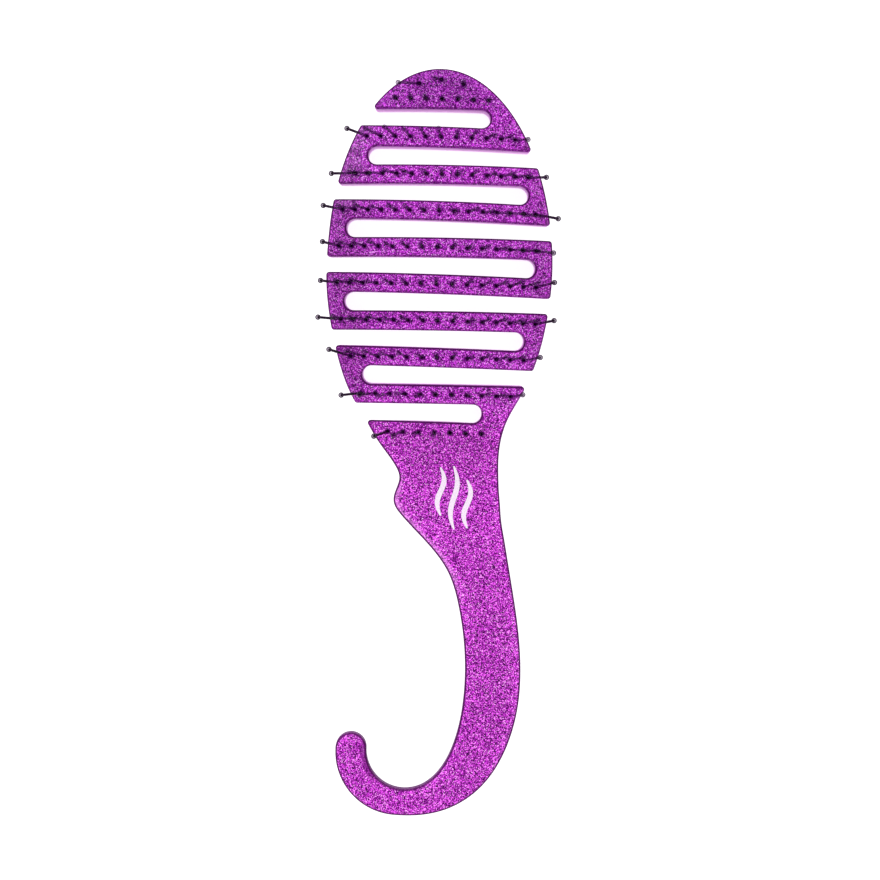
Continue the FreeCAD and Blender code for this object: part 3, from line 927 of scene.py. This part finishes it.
def glitter_plastic(name, clear_share):
    """Translucent purple plastic packed with fine glitter flakes."""
    graph = Graph(name)
    normal = graph.add("NewGeometry").outputs["Normal"]
    fine = graph.flakes(FINE_FLAKE)
    edge = graph.attribute("edge")
    wall = graph.attribute("wall")
    above = seen_from_above(graph)

    side_wall = graph.times(wall, graph.without(above))
    head_wall = graph.times(wall, on_brush(graph, HEAD_LOOK), above)
    wall_light_colour, wall_depth = wall_light(graph)
    nail = graph.times(graph.attribute("nail"), NAIL_STRENGTH)
    # Painted shade: a dark line along the rounded rims.
    rim = graph.times(graph.fade(edge, *RIM_LINE), rim_shade_strength(graph, normal),
                      graph.without(side_wall))

    colour = glitter_colour(graph, fine, edge)
    colour = graph.mix(graph.times(hook_shade(graph), SHADE_STRENGTH), colour, SHADE_PURPLE)
    colour = graph.mix(nail, colour, NAIL_PURPLE)
    lit = graph.times(thumb_light(graph, normal), THUMB_STRENGTH)
    colour = graph.mix(lit, colour, THUMB_LIGHT)
    # Painted shade on walls seen from the side.
    colour = graph.scale(colour, graph.line(side_wall, -SIDE_WALL_SHADE, 1.0))
    colour = graph.mix(rim, colour, RIM_SHADE_PURPLE)
    # Painted light on the head's walls where they are seen from above.
    colour = graph.mix(graph.times(head_wall, WALL_STRENGTH), colour, wall_light_colour)

    bump = graph.add("Bump")
    bump.inputs["Strength"].default_value = FLAKE_BUMP_STRENGTH
    bump.inputs["Distance"].default_value = FLAKE_BUMP_DEPTH * MM
    graph.feed(bump.inputs["Height"], fine[1])

    polish = graph.line(graph.maths("MAXIMUM", rim, nail), -POLISH, POLISH)
    flake = graph.surface(colour, FLAKE_ROUGHNESS, polish)
    graph.feed(flake.inputs["Normal"], bump.outputs[0])
    graph.feed(flake.inputs["Coat Weight"], polish)
    graph.feed(flake.inputs["Coat Roughness"], COAT_ROUGHNESS)
    # The head's walls glow with the same painted light.
    graph.feed(flake.inputs["Emission Color"], wall_light_colour)
    graph.feed(flake.inputs["Emission Strength"], graph.times(wall_depth, WALL_GLOW, head_wall))

    solid = graph.maths("MAXIMUM", rim, graph.maths("MAXIMUM", nail, wall))
    open_share = graph.times(graph.without(solid), clear_share)
    gap = graph.maths("LESS_THAN", fine[2], open_share)
    return graph.finish(graph.mix_shaders(gap, flake.outputs[0], graph.clear(CLEAR_PURPLE)))


def seen_over_head(graph):
    """1 over the head's plastic when seen from above, 0 past its oval outline."""
    scale = (2 / (HEAD_WIDTH * MM), 2 / (HEAD_LENGTH * MM))
    run = plan_run(graph, (HEAD_X * MM, HEAD_Y * MM), scale)
    return graph.times(graph.fade(run, *OVER_HEAD), seen_from_above(graph))


def pin_nylon():
    """Near-black nylon. Over the head the purple glow shines through the shafts."""
    graph = Graph("pin_nylon")
    tint = graph.ramp(graph.noise(NYLON_GRAIN), NYLON_STOPS)
    nylon = graph.surface(tint, NYLON_ROUGHNESS, NYLON_SPECULAR)
    open_share = graph.times(seen_over_head(graph), SHAFT_CLEAR)
    return graph.finish(graph.mix_shaders(open_share, nylon.outputs[0],
                                          graph.clear(NYLON_TINT)))


def bead_resin():
    """Smoky clear resin: dark round its edge, see-through in the middle."""
    graph = Graph("bead_resin")
    smoke = graph.ramp(graph.noise(RESIN_GRAIN), RESIN_SMOKE)
    body = graph.surface(RESIN_DARK, RESIN_ROUGHNESS, RESIN_SPECULAR)
    facing = graph.add("LayerWeight").outputs["Facing"]
    solid = graph.line(graph.fade(facing, *BEAD_EDGE_FACING), BEAD_EDGE, BEAD_MIDDLE)
    held = graph.line(seen_over_head(graph), -BEAD_CLEAR, 1.0)
    return graph.finish(graph.mix_shaders(graph.times(held, solid), graph.clear(smoke),
                                          body.outputs[0]))


def white_ink():
    """Thin white print that lets a little of the purple show."""
    graph = Graph("white_ink")
    tint = graph.ramp(graph.noise(INK_GRAIN), INK_STOPS)
    ink = graph.surface(tint, INK_ROUGHNESS, INK_SPECULAR)
    return graph.finish(ink.outputs[0])


def set_material(piece, material):
    piece.data.materials.clear()
    piece.data.materials.append(material)


# ------------------------------------------------------------ stage

FLOOR_HALF = 4.0
FLOOR_LEVEL = -0.2
FLOOR_GREY = (0.5, 0.5, 0.5)
FLOOR_LIGHT = 0.88
WORLD_LIGHT = 0.85
# The camera looks straight down. Lengths in pixels are of the 880-pixel frame.
FRAME_PIXELS = 880
FOCAL_PIXELS = 2500
PIXELS_PER_MM = 3
SENSOR = 36.0
# The plane with three pixels to a millimetre lies a little above the floor.
SHARP_LEVEL = 3
# The middles of the frame and of the lights' aim, from the middle of the head.
FRAME_MIDDLE_Y = -175 / PIXELS_PER_MM
LIGHTS_MIDDLE_Y = -58
# Lights: name, place from their aim in metres, and power. Both are equally wide.
LIGHTS = [("key", (-0.9, 0.7, 0.8), 9), ("fill", (1.0, -0.5, 0.7), 5)]
LIGHT_SIZE = 0.8


def add_floor():
    mesh = bpy.data.meshes.new("floor")
    corners = [(x * FLOOR_HALF, y * FLOOR_HALF, 0)
               for x, y in ((-1, -1), (1, -1), (1, 1), (-1, 1))]
    mesh.from_pydata(corners, [], [(0, 1, 2, 3)])
    floor = bpy.data.objects.new("floor", mesh)
    floor.location.z = FLOOR_LEVEL * MM
    bpy.context.scene.collection.objects.link(floor)
    graph = Graph("pale_floor")
    matt = graph.add("BsdfDiffuse")
    graph.feed(matt.inputs[0], FLOOR_GREY)
    lit = graph.add("Emission")
    lit.inputs[1].default_value = FLOOR_LIGHT
    both = graph.add("AddShader")
    graph.feed(both.inputs[0], matt.outputs[0])
    graph.feed(both.inputs[1], lit.outputs[0])
    mesh.materials.append(graph.finish(both.outputs[0]))


def add_lights():
    aim = Vector((HEAD_X * MM, (HEAD_Y + LIGHTS_MIDDLE_Y) * MM, 0))
    for name, offset, power in LIGHTS:
        data = bpy.data.lights.new(name, "AREA")
        data.shape = "DISK"
        data.size = LIGHT_SIZE
        data.energy = power
        light = bpy.data.objects.new(name, data)
        place = Vector((aim.x + offset[0], aim.y + offset[1], offset[2]))
        light.location = place
        light.rotation_euler = (aim - place).to_track_quat("-Z", "Y").to_euler()
        bpy.context.scene.collection.objects.link(light)


def add_world():
    world = bpy.data.worlds.new("studio")
    world.use_nodes = True
    background = world.node_tree.nodes["Background"]
    background.inputs[0].default_value = (1.0, 1.0, 1.0, 1)
    background.inputs[1].default_value = WORLD_LIGHT
    bpy.context.scene.world = world


def add_camera():
    data = bpy.data.cameras.new("camera")
    data.sensor_width = SENSOR
    data.lens = SENSOR * FOCAL_PIXELS / FRAME_PIXELS
    camera = bpy.data.objects.new("camera", data)
    height = FOCAL_PIXELS / PIXELS_PER_MM + SHARP_LEVEL
    camera.location = (HEAD_X * MM, (HEAD_Y + FRAME_MIDDLE_Y) * MM, height * MM)
    camera.rotation_euler = (0, 0, 0)
    bpy.context.scene.collection.objects.link(camera)
    bpy.context.scene.camera = camera


# ------------------------------------------------------------ build

outline, inward, fine_outline = spaced_outline(rim_points("back_cover"))
spots = pin_spots()

shells = [
    ("front_shell", "glitter_shell", SHELL_CLEAR, front_rings(), FRONT_SPACING, 1),
    ("back_cover", "glitter_cover", COVER_CLEAR, back_rings(), BACK_SPACING, 0),
]
for node_name, slot, clear_share, rings, spacing, dimple_side in shells:
    shell = build_shell(node_name + "_finish", outline, inward, rings, spots, spacing,
                        dimple_side)
    set_material(shell, glitter_plastic(slot, clear_share))
    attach(shell, "root")
    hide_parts(node_name)

emblem = build_emblem("grip_emblem")
set_material(emblem, white_ink())
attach(emblem, "root")

nylon = pin_nylon()
resin = bead_resin()
for node_name, node in frame["nodes"].items():
    if node_name.startswith("pins_"):
        set_material(node, nylon)
    elif node_name.startswith("beads_"):
        set_material(node, resin)

add_floor()
add_world()
add_lights()
add_camera()
bpy.context.scene.view_settings.view_transform = "Standard"
